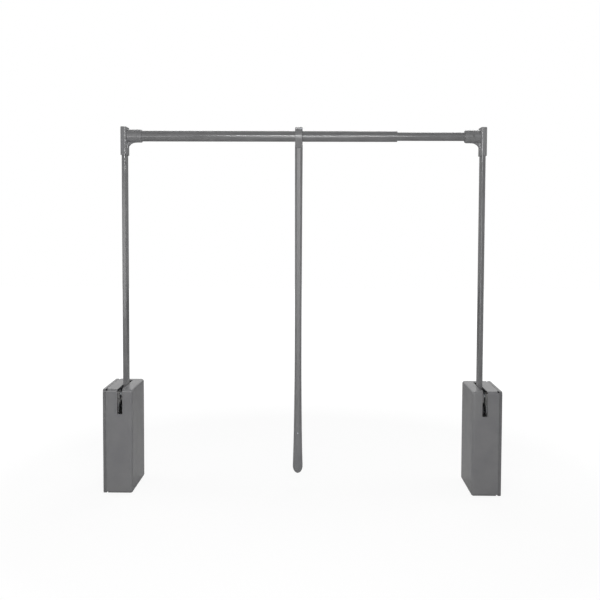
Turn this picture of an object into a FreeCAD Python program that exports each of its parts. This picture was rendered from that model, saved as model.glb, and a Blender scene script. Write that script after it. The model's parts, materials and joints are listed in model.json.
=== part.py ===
import FreeCAD, Part
import math
import os

# Pull down closet rod, also called a wardrobe lift. Two boxes are screwed to the sides of a wardrobe.
# In each one an arm turns on a pin, and a gas strut keeps it upright. A telescopic rail for clothes
# hangers joins the tops of the arms, and a long handle hangs from it to pull the rail down.
#
# All sizes are in millimetres. X runs along the rail, Y points to the back of the wardrobe, Z is up.
# The origin is at the foot of the boxes, midway between them, in the plane of the arms and the rail.
# What belongs to one side is modelled in that side's own frame, where X is the distance inwards from
# the wardrobe's side. The left side is moved to its place and the right side is its mirror image.

Vec = FreeCAD.Vector

# ---------------------------------------------------------------- driving dimensions

# Widths that the rail can be set to, over the outer faces of the boxes
overall_width = 907.0
widest_width = 1150.0

# Box: wall plate and cover
box_width = 67.0
box_depth = 140.0
box_height = 240.0
plate_floor = 3.0
plate_rim_height = 6.0
plate_rim_wall = 2.5
cover_wall = 2.5
box_edge_radius = 6.0
slot_side_gap = 0.75
slot_floor_gap = 2.0
slot_rear_gap = 32.0
tongue_width = 12.0
tongue_thickness = 1.5
tongue_reach = 8.0
tongue_end_share = 0.25
seam_width = 0.8
seam_depth = 1.2
notch_length = 12.0
notch_depth = 4.5
wall_hole_diameter = 5.0
wall_hole_inset_y = 12.0
wall_hole_inset_z = 20.0

# Frame
frame_thickness = 2.5
frame_front = 50.0
frame_foot = 12.0
frame_top_gap = 0.5
frame_bend_radius = 4.0
frame_corner_radius = 10.0
frame_rear_gap = 2.5
inner_cheek_gap = 8.3
frame_screw_diameter = 4.0
frame_screw_head = 8.0
frame_screw_head_height = 2.5
frame_screw_front = 10.0
frame_screw_rear = 12.0
frame_screw_low = 18.0
frame_screw_high = 24.0
frame_screw_skin = 0.8

# Arm and its pivot
arm_inset = 38.7
arm_thickness = 10.0
arm_depth = 30.0
arm_wall = 1.2
arm_corner_radius = 3.0
arm_foot = 18.0
pivot_drop = 40.0
rail_height = 620.5
pivot_pin_diameter = 8.0
pivot_head_diameter = 14.0
pivot_head_height = 3.0
groove_depth = 0.4
circlip_diameter = 13.0
circlip_thickness = 1.2
circlip_gap_width = 3.0
bush_diameter = 12.0
bush_flange_diameter = 16.0
spacer_diameter = 14.0

# Lever, crank and strut
swing_angle = 90.0
lever_thickness = 3.0
lever_hub_radius = 11.0
lever_crank_radius = 8.0
lever_tail = 21.0
rivet_diameter = 5.0
rivet_head_diameter = 8.0
rivet_head_height = 1.3
rivet_spacing = 12.0
crank_radius = 28.0
crank_pin_diameter = 7.0
crank_head_diameter = 13.0
crank_head_height = 1.5
shoe_radius = 38.0
shoe_rise = 8.0
shoe_edge_radius = 1.5
shoe_pin_reach = 7.0
yoke_thickness = 10.0
yoke_wall = 4.0
yoke_end_gap = 0.5
yoke_corner_radius = 3.0
yoke_neck_length = 11.0
strut_rod_diameter = 7.0
strut_rod_grip = 12.0
strut_top_gap = 2.0
cylinder_diameter = 20.0
cylinder_wall = 1.5
cylinder_floor = 4.0
gland_length = 12.0
piston_length = 8.0
piston_gap = 0.2
piston_rest_gap = 3.0
foot_height = 24.0
foot_eye_diameter = 16.0
foot_neck_diameter = 10.0
foot_reach = 14.0
anchor_pin_diameter = 6.0
anchor_collar_diameter = 10.0
anchor_head_height = 2.4

# Stops
up_stop_diameter = 12.0
up_stop_rise = 25.5
up_stop_stem = 6.0
up_stop_button = 10.0
up_stop_button_height = 2.0
down_stop_diameter = 14.0
down_stop_pin_diameter = 8.0
down_stop_forward = 40.0
down_stop_side_gap = 0.5

# Corner connector
sleeve_width = 14.0
sleeve_depth = 37.0
sleeve_height = 65.0
sleeve_above_rail = 20.5
sleeve_top_wall = 4.0
sleeve_edge_radius = 4.0
sleeve_top_radius = 1.5
socket_diameter = 30.2
socket_reach = 40.5
socket_depth = 32.0
socket_chamfer = 1.2
socket_groove_width = 0.8
socket_groove_depth = 0.5
socket_lip = 10.0
web_thickness = 8.0
web_reach = 27.5
web_drop = 16.0
web_sag = 0.2
corner_screw_diameter = 4.0
corner_screw_head = 7.6
corner_screw_head_height = 1.8
corner_screw_tip = 2.0
arm_screw_rise = 12.0
rail_screw_reach = 24.0
rail_screw_seat = 1.1

# Rail
rail_diameter = 25.0
rail_wall = 1.2
outer_tube_length = 622.3
inner_tube_diameter = 20.0
inner_tube_wall = 1.2
least_overlap = 80.0
guide_length = 25.0
rim_thickness = 1.2
plug_length = 12.0
plug_spigot = 15.0
reducer_rim_diameter = 27.6

# Clip and pull handle
clip_offset = -10.0
clip_width = 17.0
clip_diameter = 40.4
clip_edge_radius = 1.2
clip_lug_depth = 24.0
clip_skirt_lip = 1.0
clip_skirt_overlap = 2.0
liner_wall = 2.1
liner_rim_height = 1.6
liner_rim_thickness = 1.2
clip_tongue_width = 9.0
clip_tongue_thickness = 2.4
clip_screw_diameter = 2.5
clip_screw_head = 4.8
clip_screw_head_height = 1.6
clip_screw_offset = 5.0
clip_screw_rise = 17.1
clip_screw_end = 2.0
clip_screw_land = 1.35
clip_tongue_lip = 2.35
handle_length = 790.0
handle_top_width = 18.1
handle_waist_width = 15.7
handle_end_width = 23.1
handle_waist_drop = 385.0
handle_round_end = 18.0
handle_flare_power = 3.35
handle_thickness = 11.0
handle_edge_thickness = 4.0
handle_facet_width = 7.5
handle_least_share = 0.35
grip_length = 109.5
tang_length = 45.0
tang_width = 8.0
tang_thickness = 5.0
handle_pin_diameter = 3.0
handle_pin_drop = 14.0

# Clearances, and how finely the handle is built
seat_gap = 0.05
running_gap = 0.1
face_gap = 0.1
swing_gap = 0.3
past = 1.0
close_enough = 0.0001
bar_steps = 12
grip_steps = 8
mm3_in_cm3 = 1000

# ---------------------------------------------------------------- derived places and sizes

pivot_z = box_height - pivot_drop
rail_z = pivot_z + rail_height
arm_outer = arm_inset - arm_thickness / 2
arm_inner = arm_inset + arm_thickness / 2

cheek_outer = plate_floor
cheek_outer_inside = cheek_outer + frame_thickness
cheek_inner = arm_inner + inner_cheek_gap
cheek_inner_outside = cheek_inner + frame_thickness
foot_sweep = math.hypot(arm_depth / 2, arm_foot)
frame_web = foot_sweep + frame_rear_gap
frame_rear = frame_web + frame_thickness
frame_top = box_height - cover_wall - seat_gap - tongue_thickness - frame_top_gap

# The crank swings as far above the level line as below it. The strut's rod moves at one even rate,
# so the crank pin leads and lags it a little, and the yoke's slot is that much higher than the pin.
half_swing = math.radians(swing_angle) / 2
rod_rate = math.sin(half_swing) / half_swing
lag_angle = math.acos(rod_rate)
crank_lag = crank_radius * (math.sin(lag_angle) - rod_rate * lag_angle)
crank_y = -crank_radius * math.cos(half_swing)
crank_rise = crank_radius * math.sin(half_swing)
rod_travel = 2 * crank_rise
strut_y = (crank_y - crank_radius) / 2
yoke_slot_half_length = (crank_y + crank_radius) / 2 + crank_pin_diameter / 2 + yoke_end_gap
yoke_slot_half_height = crank_pin_diameter / 2 + crank_lag + swing_gap
yoke_half_depth = yoke_slot_half_length + yoke_wall
yoke_half_height = yoke_slot_half_height + yoke_wall
yoke_z = pivot_z + crank_rise
lever_outer = arm_outer - lever_thickness
yoke_inner = lever_outer - swing_gap
strut_x = yoke_inner - yoke_thickness / 2
yoke_outer = yoke_inner - yoke_thickness
neck_bottom = yoke_z - yoke_half_height - yoke_neck_length
cylinder_top = neck_bottom - rod_travel - strut_top_gap
cylinder_bottom = foot_height + foot_reach
cylinder_bore = cylinder_diameter - 2 * cylinder_wall
gland_bottom = cylinder_top - gland_length
piston_top = gland_bottom - piston_rest_gap
piston_bottom = piston_top - piston_length

bush_outer_end = lever_outer - face_gap
circlip_start = cheek_inner - face_gap - circlip_thickness
bush_inner_end = circlip_start - face_gap

down_stop_z = pivot_z - arm_depth / 2 - swing_gap - down_stop_diameter / 2
up_stop_z = pivot_z + up_stop_rise

sleeve_top = rail_z + sleeve_above_rail
sleeve_bottom = sleeve_top - sleeve_height
arm_top = sleeve_top - sleeve_top_wall - seat_gap
arm_screw_z = sleeve_bottom + arm_screw_rise
sleeve_outer = arm_inset - sleeve_width / 2
sleeve_inner = arm_inset + sleeve_width / 2
socket_end = arm_inset + socket_reach
bore_end = socket_end - socket_depth
rail_screw_x = arm_inset + rail_screw_reach
rail_screw_seat_y = socket_diameter / 2 - rail_screw_seat

outer_tube_start = -overall_width / 2 + bore_end
outer_tube_mouth = outer_tube_start + outer_tube_length
inner_tube_end = overall_width / 2 - bore_end
widening = widest_width - overall_width
inner_tube_start = outer_tube_mouth - least_overlap - widening
rail_bore = rail_diameter - 2 * rail_wall
inner_tube_bore = inner_tube_diameter - 2 * inner_tube_wall

clip_x = clip_offset
liner_radius = rail_diameter / 2 + running_gap + liner_wall
clip_bore_radius = liner_radius + running_gap
liner_rim_radius = liner_radius + liner_rim_height
clip_radius = clip_diameter / 2
clip_screw_drop = clip_radius + clip_screw_diameter / 2 + clip_screw_land
clip_tongue_end = clip_screw_drop + clip_screw_diameter / 2 + clip_tongue_lip
clip_skirt_end = clip_tongue_end + clip_skirt_overlap
grip_drop = handle_length - grip_length
flare_end_drop = handle_length - handle_round_end


# ---------------------------------------------------------------- small helpers

def block(x0, x1, y0, y1, z0, z1):
    return Part.makeBox(x1 - x0, y1 - y0, z1 - z0, Vec(x0, y0, z0))


def round_x(x0, x1, y, z, diameter):
    return Part.makeCylinder(diameter / 2, x1 - x0, Vec(x0, y, z), Vec(1, 0, 0))


def round_y(y0, y1, x, z, diameter):
    return Part.makeCylinder(diameter / 2, y1 - y0, Vec(x, y0, z), Vec(0, 1, 0))


def round_z(z0, z1, x, y, diameter):
    return Part.makeCylinder(diameter / 2, z1 - z0, Vec(x, y, z0), Vec(0, 0, 1))


def fuse(shapes):
    joined = shapes[0]
    for shape in shapes[1:]:
        joined = joined.fuse(shape)
    return joined.removeSplitter()


def runs_along(edge, axis):
    """True for a straight edge that is parallel to the axis."""
    if not isinstance(edge.Curve, Part.Line):
        return False
    return edge.tangentAt(edge.FirstParameter).cross(axis).Length < close_enough


def rounded(shape, radius, axis, keep=None):
    """Round the straight edges along one axis, or those of them whose middle passes a test."""
    edges = [edge for edge in shape.Edges if runs_along(edge, axis)]
    if keep is not None:
        edges = [edge for edge in edges if keep(edge.CenterOfMass)]
    return shape.makeFillet(radius, edges)


def circle_edges(shape, x, diameter):
    """The full circles of one size that lie in the plane at x."""
    found = []
    for edge in shape.Edges:
        if not isinstance(edge.Curve, Part.Circle):
            continue
        at_plane = abs(edge.Curve.Center.x - x) < close_enough
        right_size = abs(edge.Curve.Radius - diameter / 2) < close_enough
        if at_plane and right_size:
            found.append(edge)
    return found


def flat_oval_bar(thickness, depth, radius, z0, z1):
    """Upright bar round the arm's centre line, with its four long edges rounded."""
    x0 = arm_inset - thickness / 2
    x1 = arm_inset + thickness / 2
    bar = block(x0, x1, -depth / 2, depth / 2, z0, z1)
    return rounded(bar, radius, Vec(0, 0, 1))


def link_plate(x0, x1, first, second):
    """Plate whose outline is two circles and their outer tangents; each circle is (y, z, radius)."""
    centre_a = Vec(x0, first[0], first[1])
    centre_b = Vec(x0, second[0], second[1])
    radius_a = first[2]
    radius_b = second[2]
    along = centre_b - centre_a
    lean = math.asin((radius_a - radius_b) / along.Length)
    along.normalize()
    across = Vec(1, 0, 0).cross(along)
    ends = []
    for side in (1, -1):
        outward = along * math.sin(lean) + across * (side * math.cos(lean))
        ends.append((centre_a + outward * radius_a, centre_b + outward * radius_b))
    edges = [
        Part.makeLine(ends[0][0], ends[0][1]),
        Part.Arc(ends[0][1], centre_b + along * radius_b, ends[1][1]).toShape(),
        Part.makeLine(ends[1][1], ends[1][0]),
        Part.Arc(ends[1][0], centre_a - along * radius_a, ends[0][0]).toShape(),
    ]
    return Part.Face(Part.Wire(edges)).extrude(Vec(x1 - x0, 0, 0))


# ---------------------------------------------------------------- box: wall plate and cover

def wall_holes():
    """The four screw holes through the wall plate, as (y, z)."""
    places = []
    for y in (-1, 1):
        for z in (wall_hole_inset_z, box_height - wall_hole_inset_z):
            places.append((y * (box_depth / 2 - wall_hole_inset_y), z))
    return places


def frame_screw_places():
    places = []
    for y in (-frame_front + frame_screw_front, frame_web - frame_screw_rear):
        for z in (frame_foot + frame_screw_low, frame_top - frame_screw_high):
            places.append((y, z))
    return places


def snap_tongues():
    """Springy tongues that stand on the plate just inside the cover's walls."""
    x0 = plate_floor
    x1 = plate_rim_height + tongue_reach
    near = cover_wall + seat_gap
    far = near + tongue_thickness
    half = tongue_width / 2
    tongues = []
    for y in (-box_depth * tongue_end_share, box_depth * tongue_end_share):
        tongues.append(block(x0, x1, y - half, y + half, near, far))
        tongues.append(block(x0, x1, y - half, y + half, box_height - far, box_height - near))
    for z in (box_height * tongue_end_share, box_height * (1 - tongue_end_share)):
        tongues.append(block(x0, x1, box_depth / 2 - far, box_depth / 2 - near, z - half, z + half))
        tongues.append(block(x0, x1, near - box_depth / 2, far - box_depth / 2, z - half, z + half))
    return tongues


def box_core(x0, x1, inset):
    """Block that follows the box's outline at an inset, with rounded corners."""
    half = box_depth / 2 - inset
    core = block(x0, x1, -half, half, inset, box_height - inset)
    return rounded(core, box_edge_radius - inset, Vec(1, 0, 0))


def rounded_end(core, x, radius):
    """Round the edges of the end face at x."""
    face_edges = [edge for edge in core.Edges if abs(edge.CenterOfMass.x - x) < close_enough]
    return core.makeFillet(radius, face_edges)


def wall_plate():
    tray = box_core(0, plate_rim_height, 0)
    hollow = box_core(plate_floor, plate_rim_height + past, plate_rim_wall)
    plate = fuse([tray.cut(hollow)] + snap_tongues())
    for y, z in wall_holes():
        plate = plate.cut(round_x(-past, plate_floor + past, y, z, wall_hole_diameter))
    hole = frame_screw_diameter + 2 * seat_gap
    for y, z in frame_screw_places():
        plate = plate.cut(round_x(frame_screw_skin, plate_floor + past, y, z, hole))
    return plate


def cover():
    """Shell with the arm's slot, a shadow groove along its seam, and a pry notch at the seam's corners."""
    shell = rounded_end(box_core(plate_rim_height, box_width, 0), box_width, box_edge_radius)
    inner_face = box_width - cover_wall
    hollow = rounded_end(box_core(plate_rim_height - past, inner_face, cover_wall),
                         inner_face, box_edge_radius - cover_wall)
    shell = shell.cut(hollow)
    slot_half = arm_thickness / 2 + slot_side_gap
    slot_floor = pivot_z - arm_depth / 2 - slot_floor_gap
    slot = block(arm_inset - slot_half, arm_inset + slot_half,
                 -box_depth / 2 - past, arm_depth / 2 + slot_rear_gap,
                 slot_floor, box_height + past)
    shell = shell.cut(slot)
    seam_end = plate_rim_height + seam_width
    seam = box_core(plate_rim_height - past, seam_end, -past)
    shell = shell.cut(seam.cut(box_core(plate_rim_height - past, seam_end, seam_depth)))
    for y in (-box_depth / 2 - past, box_depth / 2 - notch_length):
        for z in (-past, box_height - cover_wall - past):
            notch = block(plate_rim_height - past, plate_rim_height + notch_depth,
                          y, y + notch_length + past, z, z + cover_wall + 2 * past)
            shell = shell.cut(notch)
    return shell


# ---------------------------------------------------------------- frame and its pins

def frame():
    channel = block(cheek_outer, cheek_inner_outside, -frame_front, frame_rear, frame_foot, frame_top)
    channel = rounded(channel, frame_bend_radius, Vec(0, 0, 1), lambda middle: middle.y > 0)
    hollow = block(cheek_outer_inside, cheek_inner, -frame_front - past, frame_web,
                   frame_foot - past, frame_top + past)
    hollow = rounded(hollow, frame_bend_radius - frame_thickness, Vec(0, 0, 1),
                     lambda middle: middle.y > 0)
    channel = channel.cut(hollow)
    channel = rounded(channel, frame_corner_radius, Vec(1, 0, 0),
                      lambda middle: middle.y < past - frame_front)
    pin_hole = pivot_pin_diameter + 2 * seat_gap
    channel = channel.cut(round_x(cheek_outer - past, cheek_inner_outside + past, 0, pivot_z, pin_hole))
    anchor_hole = anchor_pin_diameter + 2 * seat_gap
    channel = channel.cut(round_x(cheek_outer - past, cheek_outer_inside + past,
                                  strut_y, foot_height, anchor_hole))
    stop_hole = down_stop_pin_diameter + 2 * seat_gap
    channel = channel.cut(round_x(cheek_inner - past, cheek_inner_outside + past,
                                  -down_stop_forward, down_stop_z, stop_hole))
    buffer_hole = up_stop_stem + 2 * seat_gap
    channel = channel.cut(round_y(frame_web - past, frame_rear + past, arm_inset, up_stop_z, buffer_hole))
    screw_hole = frame_screw_diameter + 2 * seat_gap
    for y, z in frame_screw_places():
        channel = channel.cut(round_x(cheek_outer - past, cheek_outer_inside + past, y, z, screw_hole))
    return channel


def frame_screws():
    screws = []
    start = frame_screw_skin + seat_gap
    for y, z in frame_screw_places():
        shank = round_x(start, cheek_outer_inside, y, z, frame_screw_diameter)
        head_end = cheek_outer_inside + frame_screw_head_height
        head = round_x(cheek_outer_inside, head_end, y, z, frame_screw_head)
        head = head.makeFillet(frame_screw_head_height / 2, circle_edges(head, head_end, frame_screw_head))
        drive = round_x(head_end - frame_screw_head_height / 2, head_end + past, y, z,
                        frame_screw_diameter / 2)
        screws.append(fuse([shank, head]).cut(drive))
    return Part.makeCompound(screws)


def pivot_pin():
    head_end = cheek_inner_outside + pivot_head_height
    shank = round_x(cheek_outer + seat_gap, cheek_inner_outside, 0, pivot_z, pivot_pin_diameter)
    head = round_x(cheek_inner_outside, head_end, 0, pivot_z, pivot_head_diameter)
    head = head.makeFillet(pivot_head_height / 2, circle_edges(head, head_end, pivot_head_diameter))
    groove_start = circlip_start - seat_gap
    groove_end = circlip_start + circlip_thickness + seat_gap
    groove = round_x(groove_start, groove_end, 0, pivot_z, pivot_pin_diameter + 2 * past)
    core = round_x(groove_start, groove_end, 0, pivot_z, pivot_pin_diameter - 2 * groove_depth)
    return fuse([shank, head]).cut(groove.cut(core))


def pivot_circlip():
    end = circlip_start + circlip_thickness
    inside = pivot_pin_diameter - 2 * groove_depth + 2 * seat_gap
    ring = round_x(circlip_start, end, 0, pivot_z, circlip_diameter)
    ring = ring.cut(round_x(circlip_start - past, end + past, 0, pivot_z, inside))
    mouth = block(circlip_start - past, end + past, -circlip_gap_width / 2, circlip_gap_width / 2,
                  pivot_z - circlip_diameter, pivot_z)
    return ring.cut(mouth)


def pivot_spacer():
    end = bush_outer_end - face_gap
    tube = round_x(cheek_outer_inside, end, 0, pivot_z, spacer_diameter)
    hole = round_x(cheek_outer_inside - past, end + past, 0, pivot_z, pivot_pin_diameter + 2 * seat_gap)
    return tube.cut(hole)


def anchor_pin():
    """Shouldered pin: a thin end in the cheek, a collar, a thin part through the eye, and a head."""
    collar_end = yoke_outer - face_gap
    eye_end = yoke_inner + face_gap
    thin = round_x(cheek_outer + seat_gap, eye_end, strut_y, foot_height, anchor_pin_diameter)
    collar = round_x(cheek_outer_inside, collar_end, strut_y, foot_height, anchor_collar_diameter)
    head = round_x(eye_end, eye_end + anchor_head_height, strut_y, foot_height, anchor_collar_diameter)
    return fuse([thin, collar, head])


def up_stop():
    """Rubber buffer whose stem is pulled through the frame's web."""
    front = arm_depth / 2 + swing_gap
    body = round_y(front, frame_web, arm_inset, up_stop_z, up_stop_diameter)
    stem = round_y(frame_web, frame_rear, arm_inset, up_stop_z, up_stop_stem)
    button = round_y(frame_rear, frame_rear + up_stop_button_height, arm_inset, up_stop_z, up_stop_button)
    return fuse([body, stem, button])


def down_stop_pin():
    return round_x(arm_outer + down_stop_side_gap, cheek_inner_outside,
                   -down_stop_forward, down_stop_z, down_stop_pin_diameter)


def down_stop_sleeve():
    start = arm_outer + down_stop_side_gap
    end = cheek_inner - face_gap
    sleeve = round_x(start, end, -down_stop_forward, down_stop_z, down_stop_diameter)
    hole = round_x(start - past, end + past, -down_stop_forward, down_stop_z,
                   down_stop_pin_diameter + 2 * seat_gap)
    return sleeve.cut(hole)


# ---------------------------------------------------------------- strut

def strut_cylinder():
    tube = round_z(cylinder_bottom, cylinder_top, strut_x, strut_y, cylinder_diameter)
    bore = round_z(cylinder_bottom + cylinder_floor, cylinder_top + past, strut_x, strut_y, cylinder_bore)
    stub_hole = round_z(cylinder_bottom - past, cylinder_bottom + cylinder_floor + past,
                        strut_x, strut_y, foot_neck_diameter + 2 * seat_gap)
    return tube.cut(bore).cut(stub_hole)


def strut_gland():
    plug = round_z(gland_bottom, cylinder_top, strut_x, strut_y, cylinder_bore - 2 * seat_gap)
    hole = round_z(gland_bottom - past, cylinder_top + past, strut_x, strut_y,
                   strut_rod_diameter + 2 * running_gap)
    return plug.cut(hole)


def strut_foot():
    eye = round_x(yoke_outer, yoke_inner, strut_y, foot_height, foot_eye_diameter)
    neck = round_z(foot_height, cylinder_bottom + cylinder_floor, strut_x, strut_y, foot_neck_diameter)
    hole = round_x(yoke_outer - past, yoke_inner + past, strut_y, foot_height,
                   anchor_pin_diameter + 2 * seat_gap)
    return fuse([eye, neck]).cut(hole)


def strut_rod():
    rod = round_z(piston_bottom, neck_bottom + strut_rod_grip, strut_x, strut_y, strut_rod_diameter)
    piston = round_z(piston_bottom, piston_top, strut_x, strut_y, cylinder_bore - 2 * piston_gap)
    return fuse([rod, piston])


def strut_yoke():
    """Rod end with a level slot, in which the crank pin moves to and fro as it goes up and down."""
    head = block(yoke_outer, yoke_inner, strut_y - yoke_half_depth, strut_y + yoke_half_depth,
                 yoke_z - yoke_half_height, yoke_z + yoke_half_height)
    head = rounded(head, yoke_corner_radius, Vec(1, 0, 0))
    neck = round_z(neck_bottom, yoke_z - yoke_half_height + past, strut_x, strut_y, yoke_thickness)
    slot = block(yoke_outer - past, yoke_inner + past,
                 strut_y - yoke_slot_half_length, strut_y + yoke_slot_half_length,
                 yoke_z - yoke_slot_half_height, yoke_z + yoke_slot_half_height)
    slot = rounded(slot, yoke_corner_radius, Vec(1, 0, 0))
    socket = round_z(neck_bottom - past, neck_bottom + strut_rod_grip + seat_gap, strut_x, strut_y,
                     strut_rod_diameter + 2 * seat_gap)
    return fuse([head, neck]).cut(slot).cut(socket)


# ---------------------------------------------------------------- arm and lever

def rivet_places():
    """The two rivets, as (y, z)."""
    return [(side * rivet_spacing / 2, pivot_z + lever_tail) for side in (-1, 1)]


def arm():
    low = pivot_z - arm_foot
    tube = flat_oval_bar(arm_thickness, arm_depth, arm_corner_radius, low, arm_top)
    hollow = flat_oval_bar(arm_thickness - 2 * arm_wall, arm_depth - 2 * arm_wall,
                           arm_corner_radius - arm_wall, low - past, arm_top + past)
    tube = tube.cut(hollow)
    tube = tube.cut(round_x(arm_outer - past, arm_inner + past, 0, pivot_z, bush_diameter + 2 * seat_gap))
    for y, z in rivet_places():
        tube = tube.cut(round_x(arm_outer - past, arm_inset, y, z, rivet_diameter + 2 * seat_gap))
    screw_hole = corner_screw_diameter + 2 * seat_gap
    return tube.cut(round_x(arm_outer - past, arm_inset, 0, arm_screw_z, screw_hole))


def arm_bush():
    """Flanged bush: it lines the lever and the arm, and its flange fills the space to the circlip."""
    sleeve = round_x(bush_outer_end, arm_inner, 0, pivot_z, bush_diameter)
    flange = round_x(arm_inner, bush_inner_end, 0, pivot_z, bush_flange_diameter)
    hole = round_x(bush_outer_end - past, bush_inner_end + past, 0, pivot_z,
                   pivot_pin_diameter + 2 * running_gap)
    return fuse([sleeve, flange]).cut(hole)


def lever():
    hub = (0, pivot_z, lever_hub_radius)
    to_crank = link_plate(lever_outer, arm_outer, hub, (crank_y, yoke_z, lever_crank_radius))
    up_arm = link_plate(lever_outer, arm_outer, hub, (0, pivot_z + lever_tail, lever_hub_radius))
    plate = fuse([to_crank, up_arm])
    holes = [(0, pivot_z, bush_diameter), (crank_y, yoke_z, crank_pin_diameter)]
    holes += [(y, z, rivet_diameter) for y, z in rivet_places()]
    for y, z, diameter in holes:
        plate = plate.cut(round_x(lever_outer - past, arm_outer + past, y, z, diameter + 2 * seat_gap))
    return plate


def lever_rivets():
    rivets = []
    inside = arm_outer + arm_wall
    for y, z in rivet_places():
        shank = round_x(lever_outer, inside, y, z, rivet_diameter)
        head = round_x(inside, inside + rivet_head_height, y, z, rivet_head_diameter)
        rivets.append(fuse([shank, head]))
    return Part.makeCompound(rivets)


def arm_shoe():
    """Moulded filler in front of the arm's foot, which closes the slot and is held by the crank pin."""
    disc = round_x(arm_outer + seat_gap, arm_inner, 0, pivot_z, 2 * shoe_radius)
    front = block(0, box_width, -box_depth / 2, -arm_depth / 2 - seat_gap, pivot_z + shoe_rise, box_height)
    shoe = disc.common(front)
    shoe = shoe.makeFillet(shoe_edge_radius, shoe.Edges)
    return shoe.cut(round_x(arm_outer - past, arm_outer + shoe_pin_reach + seat_gap, crank_y, yoke_z,
                            crank_pin_diameter + 2 * seat_gap))


def crank_pin():
    head_end = yoke_outer - swing_gap
    shank = round_x(head_end, arm_outer + shoe_pin_reach, crank_y, yoke_z, crank_pin_diameter)
    head = round_x(head_end - crank_head_height, head_end, crank_y, yoke_z, crank_head_diameter)
    return fuse([shank, head])


# ---------------------------------------------------------------- corner connector

def corner_web():
    """Thin web under the socket, with a hollow curved edge."""
    root = Vec(sleeve_inner - past, -web_thickness / 2, rail_z)
    low = Vec(root.x, root.y, rail_z - socket_diameter / 2 - web_drop)
    face_low = Vec(sleeve_inner, root.y, low.z)
    tip = Vec(arm_inset + web_reach, root.y, rail_z - socket_diameter / 2)
    tip_up = Vec(tip.x, root.y, rail_z)
    chord = tip - face_low
    towards_corner = Vec(-chord.z, 0, chord.x)
    bend = (face_low + tip) * 0.5 + towards_corner * web_sag
    edges = [
        Part.makeLine(root, low),
        Part.makeLine(low, face_low),
        Part.Arc(face_low, bend, tip).toShape(),
        Part.makeLine(tip, tip_up),
        Part.makeLine(tip_up, root),
    ]
    return Part.Face(Part.Wire(edges)).extrude(Vec(0, web_thickness, 0))


def corner(screw_side):
    sleeve = flat_oval_bar(sleeve_width, sleeve_depth, sleeve_edge_radius, sleeve_bottom, sleeve_top)
    top_edges = [edge for edge in sleeve.Edges if abs(edge.CenterOfMass.z - sleeve_top) < close_enough]
    sleeve = sleeve.makeFillet(sleeve_top_radius, top_edges)
    socket = round_x(arm_inset, socket_end, 0, rail_z, socket_diameter)
    socket = socket.makeChamfer(socket_chamfer, circle_edges(socket, socket_end, socket_diameter))
    body = fuse([sleeve, socket, corner_web()])
    pocket = flat_oval_bar(arm_thickness + 2 * seat_gap, arm_depth + 2 * seat_gap,
                           arm_corner_radius + seat_gap, sleeve_bottom - past, arm_top + seat_gap)
    bore = round_x(bore_end, socket_end + past, 0, rail_z, rail_diameter + 2 * seat_gap)
    groove_x = socket_end - socket_lip
    groove = round_x(groove_x - socket_groove_width, groove_x, 0, rail_z, socket_diameter + past)
    groove = groove.cut(round_x(groove_x - socket_groove_width, groove_x, 0, rail_z,
                                socket_diameter - 2 * socket_groove_depth))
    hole = corner_screw_diameter + 2 * seat_gap
    arm_hole = round_x(sleeve_outer - past, arm_inset, 0, arm_screw_z, hole)
    rail_hole = radial_round(screw_side, inner_tube_bore / 2, socket_diameter / 2 + past, hole)
    seat = radial_round(screw_side, rail_screw_seat_y, socket_diameter / 2 + past,
                        corner_screw_head + 2 * seat_gap)
    for cutter in (pocket, bore, groove, arm_hole, rail_hole, seat):
        body = body.cut(cutter)
    return body


def radial_round(side, near, far, diameter):
    """Round along Y through the rail's wall, on the front (-1) or the back (1) of the socket."""
    y0 = min(side * near, side * far)
    y1 = max(side * near, side * far)
    return round_y(y0, y1, rail_screw_x, rail_z, diameter)


def corner_screws(screw_side):
    arm_tip = arm_outer + arm_wall + corner_screw_tip
    arm_shank = round_x(sleeve_outer, arm_tip, 0, arm_screw_z, corner_screw_diameter)
    arm_head = round_x(sleeve_outer - corner_screw_head_height, sleeve_outer, 0, arm_screw_z,
                       corner_screw_head)
    rail_tip = inner_tube_bore / 2 - corner_screw_tip
    rail_shank = radial_round(screw_side, rail_tip, rail_screw_seat_y, corner_screw_diameter)
    head_end = rail_screw_seat_y + corner_screw_head_height
    rail_head = radial_round(screw_side, rail_screw_seat_y, head_end, corner_screw_head)
    return Part.makeCompound([fuse([arm_shank, arm_head]), fuse([rail_shank, rail_head])])


def tube_screw_hole(side_place, screw_side):
    """The hole that a rail tube and the reducer have for the connector's screw."""
    hole = radial_round(screw_side, 0, socket_diameter, corner_screw_diameter + 2 * seat_gap)
    return side_place(hole)


# ---------------------------------------------------------------- placing a side

def on_left(shape):
    placed = shape.copy()
    placed.translate(Vec(-overall_width / 2, 0, 0))
    return placed


def on_right(shape):
    placed = shape.mirror(Vec(0, 0, 0), Vec(1, 0, 0))
    placed.translate(Vec(overall_width / 2, 0, 0))
    return placed


# ---------------------------------------------------------------- rail

def tube_x(x0, x1, outside, inside):
    tube = round_x(x0, x1, 0, rail_z, outside)
    return tube.cut(round_x(x0 - past, x1 + past, 0, rail_z, inside))


def rail_outer_tube():
    tube = tube_x(outer_tube_start, outer_tube_mouth, rail_diameter, rail_bore)
    return tube.cut(tube_screw_hole(on_left, 1))


def rail_inner_tube():
    tube = tube_x(inner_tube_start, inner_tube_end, inner_tube_diameter, inner_tube_bore)
    return tube.cut(tube_screw_hole(on_right, -1))


def rail_guide_bush():
    sleeve = tube_x(outer_tube_mouth - guide_length, outer_tube_mouth,
                    rail_bore - 2 * seat_gap, inner_tube_diameter + 2 * running_gap)
    rim = tube_x(outer_tube_mouth, outer_tube_mouth + rim_thickness,
                 rail_diameter, inner_tube_diameter + 2 * running_gap)
    return fuse([sleeve, rim])


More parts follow.
